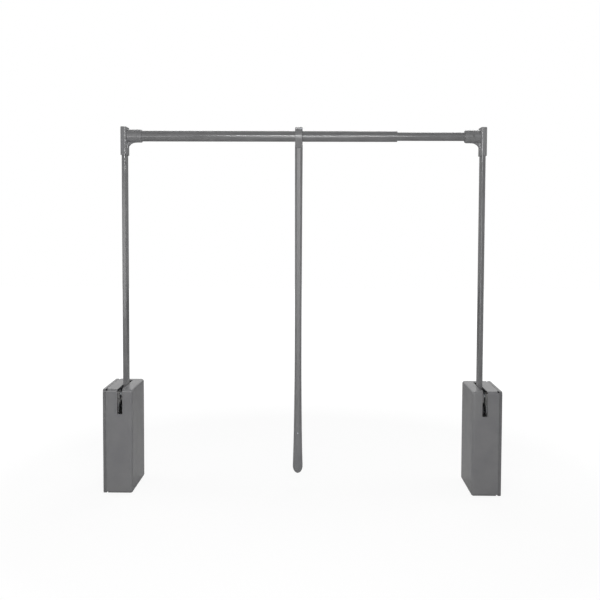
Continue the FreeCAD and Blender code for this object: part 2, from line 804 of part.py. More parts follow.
def rail_end_plug():
    head = round_x(inner_tube_start - plug_length, inner_tube_start, 0, rail_z,
                   rail_bore - 2 * running_gap)
    spigot = round_x(inner_tube_start, inner_tube_start + plug_spigot, 0, rail_z,
                     inner_tube_bore - 2 * seat_gap)
    return fuse([head, spigot])


def rail_reducer():
    mouth = overall_width / 2 - socket_end
    inside = inner_tube_diameter + 2 * seat_gap
    sleeve = tube_x(mouth, inner_tube_end, rail_diameter, inside)
    rim = tube_x(mouth - rim_thickness, mouth, reducer_rim_diameter, inside)
    return fuse([sleeve, rim]).cut(tube_screw_hole(on_right, -1))


# ---------------------------------------------------------------- clip

def clip_liner():
    half = clip_width / 2
    inside = rail_diameter + 2 * running_gap
    sleeve = tube_x(clip_x - half, clip_x + half, 2 * liner_radius, inside)
    near_rim = tube_x(clip_x - half, clip_x - half + liner_rim_thickness, 2 * liner_rim_radius, inside)
    far_rim = tube_x(clip_x + half - liner_rim_thickness, clip_x + half, 2 * liner_rim_radius, inside)
    return fuse([sleeve, near_rim, far_rim])


def round_tab(half, y0, y1, low, top):
    """Upright tab whose lower end is a half circle."""
    middle = low + half
    tab = block(clip_x - half, clip_x + half, y0, y1, middle, top)
    return fuse([tab, round_y(y0, y1, clip_x, middle, 2 * half)])


def clip_drop(side):
    """Front (-1) or back (1) half of the ring's disc, with its tangent down to the face of the handle."""
    x0 = clip_x - clip_width / 2
    end_y = handle_thickness / 2 + clip_skirt_lip
    end_z = rail_z - clip_skirt_end
    turn = math.atan2(end_y, clip_skirt_end) + math.acos(clip_radius / math.hypot(end_y, clip_skirt_end))
    top = Vec(x0, 0, rail_z + clip_radius)
    widest = Vec(x0, side * clip_radius, rail_z)
    touch = Vec(x0, side * clip_radius * math.sin(turn), rail_z - clip_radius * math.cos(turn))
    end = Vec(x0, side * end_y, end_z)
    middle = Vec(x0, 0, end_z)
    edges = [
        Part.Arc(top, widest, touch).toShape(),
        Part.makeLine(touch, end),
        Part.makeLine(end, middle),
        Part.makeLine(middle, top),
    ]
    drop = Part.Face(Part.Wire(edges)).extrude(Vec(clip_width, 0, 0))
    rims = []
    for edge in drop.Edges:
        place = edge.CenterOfMass
        on_face = edge.BoundBox.XLength < close_enough
        if on_face and side * place.y > close_enough and place.z > end_z + close_enough:
            rims.append(edge)
    return drop.makeFillet(clip_edge_radius, rims)


def clip_lug(side):
    """Half of the flat-topped lug that takes the upper screw."""
    face_y = side * clip_lug_depth / 2
    lug = block(clip_x - clip_width / 2, clip_x + clip_width / 2, min(0, face_y), max(0, face_y),
                rail_z, rail_z + clip_radius)
    outside = [edge for edge in lug.Edges if side * edge.CenterOfMass.y > close_enough]
    return lug.makeFillet(clip_edge_radius, outside)


def clip_shell(side):
    """Half of the ring, with half of its lug and one face of the round-ended skirt."""
    x0 = clip_x - clip_width / 2
    x1 = clip_x + clip_width / 2
    outline = round_tab(clip_width / 2, -clip_radius, clip_radius,
                        rail_z - clip_skirt_end, rail_z + clip_radius)
    shell = fuse([clip_drop(side).common(outline), clip_lug(side)])
    room = handle_stretch(clip_bore_radius, clip_skirt_end + past, 1, seat_gap)
    shell = shell.cut(room.cut(round_x(x0 - past, x1 + past, 0, rail_z, clip_diameter)))
    recess_depth = liner_rim_thickness + running_gap
    recess = 2 * (liner_rim_radius + running_gap)
    shell = shell.cut(round_x(x0 - past, x1 + past, 0, rail_z, 2 * clip_bore_radius))
    shell = shell.cut(round_x(x0 - past, x0 + recess_depth, 0, rail_z, recess))
    return shell.cut(round_x(x1 - recess_depth, x1 + past, 0, rail_z, recess))


def tongue(side, spare):
    """Round-ended tab on the front (-1) or back (1) of the handle; spare makes it a pocket's cutter."""
    outside = side * (handle_thickness / 2 + clip_skirt_lip / 2 + spare * past / seat_gap)
    inside = side * (handle_thickness / 2 - clip_tongue_thickness - spare)
    return round_tab(clip_tongue_width / 2 + spare, min(outside, inside), max(outside, inside),
                     rail_z - clip_tongue_end - spare, rail_z - clip_bore_radius - liner_rim_height)


def clip_screw_lines():
    """The two screws as (x, z, which side the head is on, seat, tip), both along Y."""
    top_seat = clip_lug_depth / 2 - clip_screw_end
    top = (clip_x + clip_screw_offset, rail_z + clip_screw_rise, -1, top_seat, top_seat)
    low_tip = handle_thickness / 2 - clip_tongue_thickness / 2
    low = (clip_x, rail_z - clip_screw_drop, 1, handle_thickness / 2, low_tip)
    return [top, low]


def screw_y(x, z, side, near, far, diameter):
    return round_y(min(side * near, side * far), max(side * near, side * far), x, z, diameter)


def clip_half(side):
    half = fuse([clip_shell(side), tongue(side, 0)])
    for x, z, head_side, seat, tip in clip_screw_lines():
        hole = clip_screw_diameter + 2 * seat_gap
        half = half.cut(screw_y(x, z, head_side, seat + past, -tip - seat_gap, hole))
        if side == head_side:
            half = half.cut(screw_y(x, z, side, seat, seat + clip_diameter, clip_screw_head + 2 * seat_gap))
    return half


def clip_screws():
    screws = []
    for x, z, side, seat, tip in clip_screw_lines():
        shank = screw_y(x, z, side, seat, -tip, clip_screw_diameter)
        head = screw_y(x, z, side, seat, seat + clip_screw_head_height, clip_screw_head)
        screws.append(fuse([shank, head]))
    return Part.makeCompound(screws)


# ---------------------------------------------------------------- pull handle

def handle_width(drop):
    """Width at a distance below the rail's axis: an even taper to the waist, then a growing flare."""
    if drop <= handle_waist_drop:
        share = drop / handle_waist_drop
        return handle_top_width + (handle_waist_width - handle_top_width) * share
    share = (drop - handle_waist_drop) / (flare_end_drop - handle_waist_drop)
    return handle_waist_width + (handle_end_width - handle_waist_width) * share ** handle_flare_power


def handle_section(drop, width, scale, spare=0.0):
    """Eight-sided cross-section: a facet in the middle of the front and back, and bevelled sides."""
    facet = handle_facet_width / 2 * scale
    thick = handle_thickness / 2 * (handle_least_share + (1 - handle_least_share) * scale)
    edge = thick * handle_edge_thickness / handle_thickness + spare
    thick += spare
    side = width / 2 + spare
    outline = [(facet, thick), (side, edge), (side, -edge), (facet, -thick)]
    outline += [(-x, y) for x, y in reversed(outline)]
    points = [Vec(clip_x + x, y, rail_z - drop) for x, y in outline]
    return Part.makePolygon(points + points[:1])


def handle_stretch(start, end, steps, spare=0.0):
    """Solid through even cross-sections from one drop to another."""
    drops = [start + (end - start) * step / steps for step in range(steps + 1)]
    sections = [handle_section(drop, handle_width(drop), 1.0, spare) for drop in drops]
    return Part.makeLoft(sections, True, True)


def handle_bar():
    bar = handle_stretch(clip_bore_radius, grip_drop, bar_steps)
    bar = bar.cut(round_x(clip_x - clip_width, clip_x + clip_width, 0, rail_z, clip_diameter + 2 * seat_gap))
    for side in (-1, 1):
        bar = bar.cut(tongue(side, seat_gap))
    tang = block(clip_x - tang_width / 2, clip_x + tang_width / 2, -tang_thickness / 2, tang_thickness / 2,
                 rail_z - grip_drop - tang_length, rail_z - grip_drop + past)
    bar = fuse([bar, tang])
    screw_hole = clip_screw_diameter + 2 * seat_gap
    bar = bar.cut(round_y(-handle_thickness, handle_thickness, clip_x, rail_z - clip_screw_drop, screw_hole))
    return bar.cut(handle_pin_round(handle_pin_diameter + 2 * seat_gap, past))


def handle_pin_round(diameter, extra):
    reach = handle_thickness / 2 + extra
    return round_y(-reach, reach, clip_x, rail_z - grip_drop - handle_pin_drop, diameter)


def handle_grip():
    """Flared grip with a rounded end, hollow for the bar's tang."""
    shaft = handle_stretch(grip_drop, flare_end_drop, grip_steps)
    sections = []
    for step in range(grip_steps):
        angle = math.pi / 2 * step / grip_steps
        drop = flare_end_drop + handle_round_end * math.sin(angle)
        scale = math.cos(angle)
        sections.append(handle_section(drop, handle_end_width * scale, scale))
    rounded_end = Part.makeLoft(sections, True, True)
    pocket = block(clip_x - tang_width / 2 - seat_gap, clip_x + tang_width / 2 + seat_gap,
                   -tang_thickness / 2 - seat_gap, tang_thickness / 2 + seat_gap,
                   rail_z - grip_drop - tang_length - seat_gap, rail_z - grip_drop + past)
    grip = fuse([shaft, rounded_end]).cut(pocket)
    return grip.cut(handle_pin_round(handle_pin_diameter + 2 * seat_gap, past))


def handle_pin():
    return handle_pin_round(handle_pin_diameter, 0)


# ---------------------------------------------------------------- all pieces

def side_pieces(screw_side):
    return {
        "wall_plate": wall_plate(),
        "cover": cover(),
        "frame": frame(),
        "frame_screws": frame_screws(),
        "pivot_pin": pivot_pin(),
        "pivot_circlip": pivot_circlip(),
        "pivot_spacer": pivot_spacer(),
        "arm_bush": arm_bush(),
        "arm": arm(),
        "lever": lever(),
        "lever_rivets": lever_rivets(),
        "arm_shoe": arm_shoe(),
        "crank_pin": crank_pin(),
        "strut_yoke": strut_yoke(),
        "strut_rod": strut_rod(),
        "strut_gland": strut_gland(),
        "strut_cylinder": strut_cylinder(),
        "strut_foot": strut_foot(),
        "anchor_pin": anchor_pin(),
        "up_stop": up_stop(),
        "down_stop_pin": down_stop_pin(),
        "down_stop_sleeve": down_stop_sleeve(),
        "corner": corner(screw_side),
        "corner_screws": corner_screws(screw_side),
    }


def all_pieces():
    pieces = {}
    for name, shape in side_pieces(1).items():
        pieces["left_" + name] = on_left(shape)
    for name, shape in side_pieces(-1).items():
        pieces["right_" + name] = on_right(shape)
    pieces["rail_outer_tube"] = rail_outer_tube()
    pieces["rail_inner_tube"] = rail_inner_tube()
    pieces["rail_guide_bush"] = rail_guide_bush()
    pieces["rail_end_plug"] = rail_end_plug()
    pieces["rail_reducer"] = rail_reducer()
    pieces["clip_liner"] = clip_liner()
    pieces["clip_front"] = clip_half(-1)
    pieces["clip_rear"] = clip_half(1)
    pieces["clip_screws"] = clip_screws()
    pieces["handle_bar"] = handle_bar()
    pieces["handle_grip"] = handle_grip()
    pieces["handle_pin"] = handle_pin()
    return pieces


os.makedirs("parts", exist_ok=True)
for name, shape in all_pieces().items():
    shape.exportStep("parts/" + name + ".step")
    print(name, len(shape.Solids), "solid(s)", round(shape.Volume / mm3_in_cm3, 2), "cm3", shape.isValid())
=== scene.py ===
import json
import math

import bpy
import numpy as np
from mathutils import Matrix, Vector

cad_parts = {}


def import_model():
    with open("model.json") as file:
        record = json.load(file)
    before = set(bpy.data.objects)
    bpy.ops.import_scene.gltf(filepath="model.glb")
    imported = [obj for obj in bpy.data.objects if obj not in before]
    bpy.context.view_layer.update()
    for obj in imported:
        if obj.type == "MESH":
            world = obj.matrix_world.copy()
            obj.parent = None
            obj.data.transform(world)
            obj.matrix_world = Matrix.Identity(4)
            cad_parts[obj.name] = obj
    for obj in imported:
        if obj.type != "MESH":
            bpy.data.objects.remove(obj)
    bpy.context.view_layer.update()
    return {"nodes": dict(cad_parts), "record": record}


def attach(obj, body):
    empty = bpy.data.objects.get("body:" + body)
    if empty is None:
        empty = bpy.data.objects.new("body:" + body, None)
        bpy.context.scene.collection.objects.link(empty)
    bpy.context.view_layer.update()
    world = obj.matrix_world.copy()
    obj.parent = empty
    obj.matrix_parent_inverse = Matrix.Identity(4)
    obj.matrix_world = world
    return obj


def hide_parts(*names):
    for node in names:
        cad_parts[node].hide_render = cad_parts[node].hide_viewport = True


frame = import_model()

# A wardrobe lift in one mid grey: two moulded boxes, two steel arms, a telescopic rail and a long
# pull handle. Lengths are in metres; millimetres are written as a number times MM. The screws' sizes
# and places, and the camera's lens, are in millimetres, as the comments there say.

MM = 0.001
SIDES = (("left", -1), ("right", 1))
NODES = frame["nodes"]
SLOT_OF = {part["node"]: part["material_slot"] for part in frame["record"]["subparts"]}
BODY_OF = {node: body for body, nodes in frame["record"]["behaviour"]["bodies"].items() for node in nodes}

# ---------------------------------------------------------------- colours, as sRGB hex

ABS_GREY = "#757577"
ABS_GREY_PALE = "#7b7b7c"
ABS_DARK = "#68686a"
ABS_DARK_PALE = "#6f6f70"
NYLON_GREY = "#9a9a9a"
NYLON_GREY_PALE = "#a8a8a7"
COAT_GREY = "#6e6e6f"
COAT_GREY_PALE = "#747475"
ZINC = "#c3c6ca"
ZINC_DULL = "#9fa3a8"
CHROME = "#d9dbde"
CHROME_BRIGHT = "#e6e8ea"
BLACK_PAINT = "#1b1b1d"
BLACK_PAINT_DUST = "#262628"
BLACK_NYLON = "#2a2a2c"
BLACK_NYLON_PALE = "#3a3a3d"
NATURAL_NYLON = "#d9d4c6"
NATURAL_NYLON_DULL = "#cfc9b9"
BLACK_RUBBER = "#1d1d1d"
BLACK_RUBBER_BLOOM = "#2b2b2b"
FLOOR_PAINT = "#c0c0c0"
WHITE = (1, 1, 1, 1)


def linear(hex_colour):
    """sRGB hex to linear RGBA: c / 12.92 up to 0.04045, and ((c + 0.055) / 1.055) ** 2.4 above it."""
    values = np.array([int(hex_colour[i:i + 2], 16) for i in (1, 3, 5)]) / 255
    bright = ((values + 0.055) / 1.055) ** 2.4
    return (*np.where(values <= 0.04045, values / 12.92, bright), 1.0)


# ---------------------------------------------------------------- materials

# A noise runs from 0 to 1, but most of it lies near the middle. Tones and roughness use that stretch.
TONE_STRETCH = (0.35, 0.65)
ROUGHNESS_STRETCH = (0.3, 0.7)


def empty_tree(owner):
    """The emptied node tree of a new material or world."""
    owner.use_nodes = True
    owner.node_tree.nodes.clear()
    return owner.node_tree


def add_node(tree, kind, settings=None, values=None, links=None, stops=None):
    """Add one shader node. Values fill its input sockets, and links join them to other nodes' outputs.
    Stops are a colour ramp's positions and colours, in rising order."""
    node = tree.nodes.new("ShaderNode" + kind)
    for name, setting in (settings or {}).items():
        setattr(node, name, setting)
    for name, value in (values or {}).items():
        node.inputs[name].default_value = value
    for name, (source, output) in (links or {}).items():
        tree.links.new(source.outputs[output], node.inputs[name])
    if stops:
        elements = node.color_ramp.elements
        for element, (position, colour) in zip(elements, (stops[0], stops[-1])):
            element.position = position
            element.color = colour
        for position, colour in stops[1:-1]:
            elements.new(position).color = colour
    return node


def per_size(size):
    """Noise scale at which one grain of the pattern has this size in metres."""
    return 1.0 / size


def finish(name, roughness, metallic=0.0, ior=1.5):
    """A new material with a Principled shader; its constants stay on the shader's own sockets."""
    material = bpy.data.materials.new(name)
    tree = empty_tree(material)
    shader = add_node(tree, "BsdfPrincipled",
                      values={"Roughness": roughness, "Metallic": metallic, "IOR": ior})
    add_node(tree, "OutputMaterial", links={"Surface": (shader, "BSDF")})
    place = add_node(tree, "TexCoord")
    return material, tree, shader, place


def two_tone(tree, shader, place, dark, pale, size, stretch=(1.0, 1.0, 1.0)):
    """Base colour that drifts between two tones, in clouds of the given size. A stretch below 1 draws
    them out along that axis."""
    mapping = add_node(tree, "Mapping", values={"Scale": stretch}, links={"Vector": (place, "Object")})
    clouds = add_node(tree, "TexNoise", values={"Scale": per_size(size), "Detail": 3.0},
                      links={"Vector": (mapping, "Vector")})
    ramp = add_node(tree, "ValToRGB", links={"Fac": (clouds, "Fac")},
                    stops=list(zip(TONE_STRETCH, (linear(dark), linear(pale)))))
    tree.links.new(ramp.outputs["Color"], shader.inputs["Base Color"])
    return clouds


def rough_between(tree, shader, source, low, high):
    """Roughness that follows a noise, from low to high."""
    start, end = ROUGHNESS_STRETCH
    spread = add_node(tree, "MapRange",
                      values={"From Min": start, "From Max": end, "To Min": low, "To Max": high},
                      links={"Value": (source, "Fac")})
    tree.links.new(spread.outputs["Result"], shader.inputs["Roughness"])


def grain(tree, shader, place, size, height, stretch=(1.0, 1.0, 1.0), detail=2.0):
    """Fine relief: a noise of the given grain size and height, both in metres, as bump."""
    mapping = add_node(tree, "Mapping", values={"Scale": stretch}, links={"Vector": (place, "Object")})
    noise = add_node(tree, "TexNoise", values={"Scale": per_size(size), "Detail": detail},
                     links={"Vector": (mapping, "Vector")})
    bump = add_node(tree, "Bump", values={"Strength": 1.0, "Distance": height},
                    links={"Height": (noise, "Fac")})
    tree.links.new(bump.outputs["Normal"], shader.inputs["Normal"])


def moulded_abs(name, dark, pale):
    """Grey ABS from a spark-eroded mould: an even satin grey whose fine grain breaks up the gloss.
    The real grain is 0.2 mm wide, and is drawn 0.6 mm wide so that it shows."""
    material, tree, shader, place = finish(name, roughness=0.25, ior=1.53)
    clouds = two_tone(tree, shader, place, dark, pale, size=45 * MM)
    rough_between(tree, shader, clouds, low=0.23, high=0.27)
    grain(tree, shader, place, size=0.6 * MM, height=0.002 * MM)
    return material


def powder_coat(name, smooth, dull):
    """Grey polyester powder coat on steel: from half gloss to satin, with the shallow waves of orange
    peel, which are about 2.5 mm long."""
    material, tree, shader, place = finish(name, roughness=smooth, ior=1.5)
    clouds = two_tone(tree, shader, place, COAT_GREY, COAT_GREY_PALE, size=30 * MM)
    rough_between(tree, shader, clouds, low=smooth, high=dull)
    grain(tree, shader, place, size=2.5 * MM, height=0.002 * MM, detail=1.0)
    return material


def zinc_plate():
    """Bright zinc plate on rolled steel: bluish silver, dulled in patches, with rolling marks 1 mm
    apart that run upwards."""
    material, tree, shader, place = finish("bright_zinc_plated_steel", roughness=0.4, metallic=1.0)
    clouds = two_tone(tree, shader, place, ZINC_DULL, ZINC, size=8 * MM)
    rough_between(tree, shader, clouds, low=0.34, high=0.48)
    grain(tree, shader, place, size=1.0 * MM, height=0.008 * MM, stretch=(1.0, 1.0, 0.08))
    return material


def hard_chrome():
    """Ground and hard-chromed rod: a satin silver, with hairlines 0.4 mm apart round it."""
    material, tree, shader, place = finish("hard_chromed_rod", roughness=0.3, metallic=1.0)
    lines = two_tone(tree, shader, place, CHROME, CHROME_BRIGHT, size=0.4 * MM, stretch=(0.05, 0.05, 1.0))
    rough_between(tree, shader, lines, low=0.26, high=0.34)
    return material


def black_paint():
    """Black stoving enamel on the strut's tube: smooth and glossy, with a little dust in it."""
    material, tree, shader, place = finish("black_stove_enamelled_steel", roughness=0.22, ior=1.52)
    specks = two_tone(tree, shader, place, BLACK_PAINT, BLACK_PAINT_DUST, size=1.5 * MM)
    rough_between(tree, shader, specks, low=0.18, high=0.28)
    grain(tree, shader, place, size=2.0 * MM, height=0.01 * MM, detail=1.0)
    return material


def filled_nylon(name, dark, pale):
    """Glass-filled nylon: dull, with pale streaks of fibre. The real ones are a few tenths of a
    millimetre long, and are drawn 1.5 mm wide and 5 mm long so that they show."""
    material, tree, shader, place = finish(name, roughness=0.5, ior=1.53)
    streaks = two_tone(tree, shader, place, dark, pale, size=1.5 * MM, stretch=(1.0, 1.0, 0.3))
    rough_between(tree, shader, streaks, low=0.42, high=0.58)
    grain(tree, shader, place, size=0.5 * MM, height=0.01 * MM)
    return material


def natural_nylon():
    """Turned natural nylon: milky white and waxy, with turning marks 0.5 mm apart."""
    material, tree, shader, place = finish("turned_natural_nylon", roughness=0.4, ior=1.53)
    two_tone(tree, shader, place, NATURAL_NYLON_DULL, NATURAL_NYLON, size=6 * MM)
    grain(tree, shader, place, size=0.5 * MM, height=0.01 * MM, stretch=(1.0, 0.1, 0.1))
    return material


def nitrile_rubber():
    """Moulded nitrile rubber: matt black, with the fine powder bloom of new rubber."""
    material, tree, shader, place = finish("moulded_nitrile_rubber", roughness=0.8, ior=1.52)
    two_tone(tree, shader, place, BLACK_RUBBER, BLACK_RUBBER_BLOOM, size=3 * MM)
    grain(tree, shader, place, size=0.4 * MM, height=0.02 * MM)
    return material


MATERIALS = {
    "grey_abs": moulded_abs("spark_eroded_grey_abs", ABS_GREY, ABS_GREY_PALE),
    "dark_grey_abs": moulded_abs("spark_eroded_dark_grey_abs", ABS_DARK, ABS_DARK_PALE),
    "grey_nylon": filled_nylon("glass_filled_grey_nylon", NYLON_GREY, NYLON_GREY_PALE),
    "grey_coat": powder_coat("half_gloss_grey_powder_coat", smooth=0.13, dull=0.17),
    "zinc_steel": zinc_plate(),
    "chrome": hard_chrome(),
    "black_coat": black_paint(),
    "black_plastic": filled_nylon("glass_filled_black_nylon", BLACK_NYLON, BLACK_NYLON_PALE),
    "white_nylon": natural_nylon(),
    "black_rubber": nitrile_rubber(),
}
SATIN_COAT = powder_coat("satin_grey_powder_coat", smooth=0.4, dull=0.46)


def dress(obj, slot):
    """Give an object the finish of its slot."""
    obj.data.materials.clear()
    obj.data.materials.append(MATERIALS[slot])


for node, slot in SLOT_OF.items():
    dress(NODES[node], slot)


# ---------------------------------------------------------------- pieces

CORNER_ANGLE = math.radians(28)
WELD = 0.002 * MM


def add_object(name, data):
    """A new object that holds the data, linked into the scene."""
    obj = bpy.data.objects.new(name, data)
    bpy.context.scene.collection.objects.link(obj)
    return obj


def new_piece(name, mesh, node, slot):
    """Link a mesh as a piece which stands for a node, on its body and with the slot's finish."""
    obj = add_object(name, mesh)
    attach(obj, BODY_OF[node])
    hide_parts(node)
    dress(obj, slot)
    return obj


def shade(mesh):
    """Smooth shading that breaks at the edges sharper than the corner angle."""
    mesh.polygons.foreach_set("use_smooth", np.ones(len(mesh.polygons), dtype=bool))
    mesh.set_sharp_from_angle(angle=CORNER_ANGLE)
    mesh.update()


def smooth_copy(node):
    """The node's own triangles with their shared corners welded, so that its rounded edges shade as
    rounded: corners that fall in the same cell of a fine lattice become one vertex. The weighted
    normals keep its flat faces flat."""
    source = NODES[node].data
    points = np.empty(len(source.vertices) * 3)
    source.vertices.foreach_get("co", points)
    corners = np.empty(len(source.loops), dtype=np.int64)
    source.loops.foreach_get("vertex_index", corners)
    points = points.reshape(-1, 3)
    _, first, owner = np.unique(np.round(points / WELD).astype(np.int64), axis=0,
                                return_index=True, return_inverse=True)
    triangles = owner.reshape(-1)[corners].reshape(-1, 3)
    whole = (triangles[:, 0] != triangles[:, 1]) & (triangles[:, 1] != triangles[:, 2])
    whole &= triangles[:, 2] != triangles[:, 0]
    mesh = bpy.data.meshes.new(node + "_skin")
    mesh.from_pydata(points[first].tolist(), [], triangles[whole].tolist())
    shade(mesh)
    obj = new_piece(node + "_skin", mesh, node, SLOT_OF[node])
    level = obj.modifiers.new("level", "WEIGHTED_NORMAL")
    level.keep_sharp = True
    return obj


# ---------------------------------------------------------------- screws

SCREW_ANGLES = 48        # points round a ring
CROWN_RINGS = 17
THREAD_STATIONS = 10     # rings to a pitch

# The head, as shares of its radius.
CROWN_REACH = 0.94
BLADE_HALF_THICKNESS = 0.16
BLADE_HALF_LENGTH = 0.56
RECESS_SLOPE = 0.08

# The head, as shares of its height.
CROWN_FALL = 0.35
RECESS_DEPTH = 0.6

# The head's side from the crown down to the seat: shares of its radius and of its height.
SIDE_REACH = (1.0, 1.0, 0.97)
SIDE_RISE = (0.55, 0.06, 0.0)

# The shank, as shares of its radius, but for the start of its thread, a share of its length.
THREAD_DEPTH = 0.2
TIP_RADIUS = 0.35
TIP_LENGTH = 1.2
THREAD_START = 0.05


def screw_surface(head_radius, head_height, shank_radius, length, pitch):
    """Points of a pan head screw along its own axis, as rings times angles: the head's top is at its
    height, its seat at 0 and its tip at minus the length.

    The crown falls from the middle to the rim as the square of the radius. The cross recess is the
    crown lowered by its depth where the smaller of |x| and |y| is less than the blade's half
    thickness and the larger is less than its half length, with both edges sloped. The thread is the
    shank's radius lowered by a cosine of the height over the pitch minus the angle over a turn, and
    the radius shrinks evenly over the tip."""
    angle = np.linspace(0, 2 * np.pi, SCREW_ANGLES, endpoint=False)[None, :]
    reach = np.linspace(0, 1, CROWN_RINGS + 1)[1:, None] * head_radius * CROWN_REACH
    x, y = reach * np.cos(angle), reach * np.sin(angle)
    blade, arm = BLADE_HALF_THICKNESS * head_radius, BLADE_HALF_LENGTH * head_radius
    slope = RECESS_SLOPE * head_radius
    inside = np.clip((blade - np.minimum(abs(x), abs(y))) / slope, 0, 1)
    inside = inside * np.clip((arm - np.maximum(abs(x), abs(y))) / slope, 0, 1)
    crown = head_height * (1 - CROWN_FALL * (reach / head_radius) ** 2) + 0 * angle
    crown = crown - RECESS_DEPTH * head_height * inside
    side_reach = np.array([*SIDE_REACH, shank_radius / head_radius])[:, None] * head_radius
    side_rise = np.array([*SIDE_RISE, 0.0])[:, None] * head_height
    stations = int(length / pitch * THREAD_STATIONS)
    rise = -np.linspace(THREAD_START, 1, stations)[:, None] * length
    runout = np.clip((length + rise) / (TIP_LENGTH * shank_radius), 0, 1)
    wave = 0.5 - 0.5 * np.cos(2 * np.pi * rise / pitch - angle)
    thread = shank_radius * (TIP_RADIUS + (1 - TIP_RADIUS) * runout) * (1 - THREAD_DEPTH * wave)
    radius = np.vstack([reach + 0 * angle, side_reach + 0 * angle, thread])
    height = np.vstack([crown, side_rise + 0 * angle, rise + 0 * angle])
    return radius * np.cos(angle), radius * np.sin(angle), height


def capped_tube_faces(rings, turns, first):
    """Faces of a grid of rings that wraps round, with a fan to one point at each end. The grid's
    points are numbered on from the first, ring by ring, and the two end points come after them."""
    grid = first + np.arange(rings * turns).reshape(rings, turns)
    ahead = np.roll(grid, -1, axis=1)
    quads = np.stack([grid[:-1], grid[1:], ahead[1:], ahead[:-1]], axis=-1).reshape(-1, 4)
    top, tip = first + rings * turns, first + rings * turns + 1
    fan_top = np.stack([np.full(turns, top), grid[0], ahead[0]], axis=-1)
    fan_tip = np.stack([np.full(turns, tip), ahead[-1], grid[-1]], axis=-1)
    return quads.tolist() + fan_top.tolist() + fan_tip.tolist()


def screws(node, slot, places, sizes):
    """One piece of several screws. A place is the seat's middle and the direction its head points.
    Each screw's points are turned so that its own axis runs that way, and then moved to the seat."""
    points, faces = [], []
    count = 0
    for (seat, outward), size in zip(places, sizes):
        along = Vector(outward)
        across = along.orthogonal().normalized()
        axes = np.array([across, along.cross(across), along])
        x, y, height = (value * MM for value in screw_surface(*size))
        rings, turns = height.shape
        own = np.stack([x, y, height], axis=-1).reshape(-1, 3)
        ends = np.array([[0, 0, height[0].mean()], [0, 0, height[-1].mean()]])
        own = np.vstack([own, ends]) @ axes + np.array(seat) * MM
        points.append(own)
        faces += capped_tube_faces(rings, turns, count)
        count += len(own)
    mesh = bpy.data.meshes.new(node + "_threaded")
    mesh.from_pydata(np.vstack(points).tolist(), [], faces)
    shade(mesh)
    new_piece(node + "_threaded", mesh, node, slot)


# Pan head screws, in millimetres: head radius, head height, shank radius, length under the head, pitch.
ARM_SCREW = (3.8, 1.8, 2.0, 5.2, 1.2)
RAIL_SCREW = (3.8, 1.8, 2.0, 7.2, 1.2)
CLIP_TOP_SCREW = (2.4, 1.6, 1.25, 20.0, 0.9)
CLIP_LOW_SCREW = (2.4, 1.6, 1.25, 9.8, 0.9)
FRAME_SCREW = (4.0, 2.5, 2.0, 4.65, 1.2)

# Where their heads are seated, in millimetres from the middle of the part's foot.
RAIL_Z = 820.5                  # the rail's axis
CLIP_X = -10
SLEEVE_FACE_X = 421.8           # outer face of the connector's arm sleeve
ARM_SCREW_Z = 788
RAIL_SCREW_X = 390.8
RAIL_SCREW_SEAT_Y = 14          # behind the left socket, in front of the right one
CLIP_TOP_SEAT = (CLIP_X + 5, -10, RAIL_Z + 17.1)
CLIP_LOW_SEAT = (CLIP_X, 5.5, RAIL_Z - 22.8)
FRAME_FLOOR_X = 448
FRAME_SCREW_PLACES = [(y, z) for y in (-40, 13.93) for z in (30, 211.45)]

for side, way in SIDES:
    arm_place = ((way * SLEEVE_FACE_X, 0, ARM_SCREW_Z), (way, 0, 0))
    rail_place = ((way * RAIL_SCREW_X, -way * RAIL_SCREW_SEAT_Y, RAIL_Z), (0, -way, 0))
    screws(side + "_corner_screws", "grey_coat", [arm_place, rail_place], [ARM_SCREW, RAIL_SCREW])
screws("clip_screws", "zinc_steel", [(CLIP_TOP_SEAT, (0, -1, 0)), (CLIP_LOW_SEAT, (0, 1, 0))],
       [CLIP_TOP_SCREW, CLIP_LOW_SCREW])
for side, way in SIDES:
    screws(side + "_frame_screws", "zinc_steel",
           [((way * FRAME_FLOOR_X, y, z), (-way, 0, 0)) for y, z in FRAME_SCREW_PLACES],
           [FRAME_SCREW] * len(FRAME_SCREW_PLACES))

skins = {node: smooth_copy(node) for node in SLOT_OF if not node.endswith("_screws")}
skins["handle_bar"].data.materials[0] = SATIN_COAT


# ---------------------------------------------------------------- studio

FLOOR_HALF_WIDTH = 6.0
FLOOR_GLOW = 1.12
FADE_START, FADE_END = 0.7, 1.5     # distances from the middle of the part's foot
NEAR_SHARE, FAR_SHARE = 0.8, 1.0    # how much of the floor is glow to the camera, before and past the fade

SKY_LIGHT = 0.2                     # strength of the even light that falls on the object from all round

# What reflections show all round: the sine of the angle above the horizon, and the brightness there.
WALL_BANDS = [(0.11, 0.3), (0.17, 1.0), (0.3, 1.0), (0.5, 0.25)]

# Name, place, the point it faces, width, height and watts.
SOFTBOXES = [
    ("key_strip", (0.03, -1.3, 0.912), (0.02, 0, 0.82), 0.72, 0.05, 6.8),
    ("front_softbox", (0, -1.2, 0.4), (0, 0, 0.3), 0.4, 0.5, 2.1),
    ("camera_side_softbox", (0.03, -2.6, 0.6), (0, 0, 0.3), 1.0, 0.8, 7.5),
    ("near_left_softbox", (-0.75, -1.3, 0.5), (-0.3, 0, 0.35), 0.5, 0.5, 2.2),
    ("left_softbox", (-1.15, 0.15, 0.5), (-0.45, 0, 0.35), 0.6, 0.9, 3),
    ("right_softbox", (1.15, 0.15, 0.5), (0.45, 0, 0.35), 0.6, 0.9, 3),
    ("top_softbox", (0, 0.3, 2.6), (0, 0, 0), 2.2, 1.0, 5),
    ("rear_softbox", (0.55, 1.5, 2.2), (0.2, 0, 0.6), 0.7, 0.5, 3.5),
    ("back_softbox", (0, 1.6, 1.85), (0, 0, 0.3), 1.6, 0.4, 10),
]

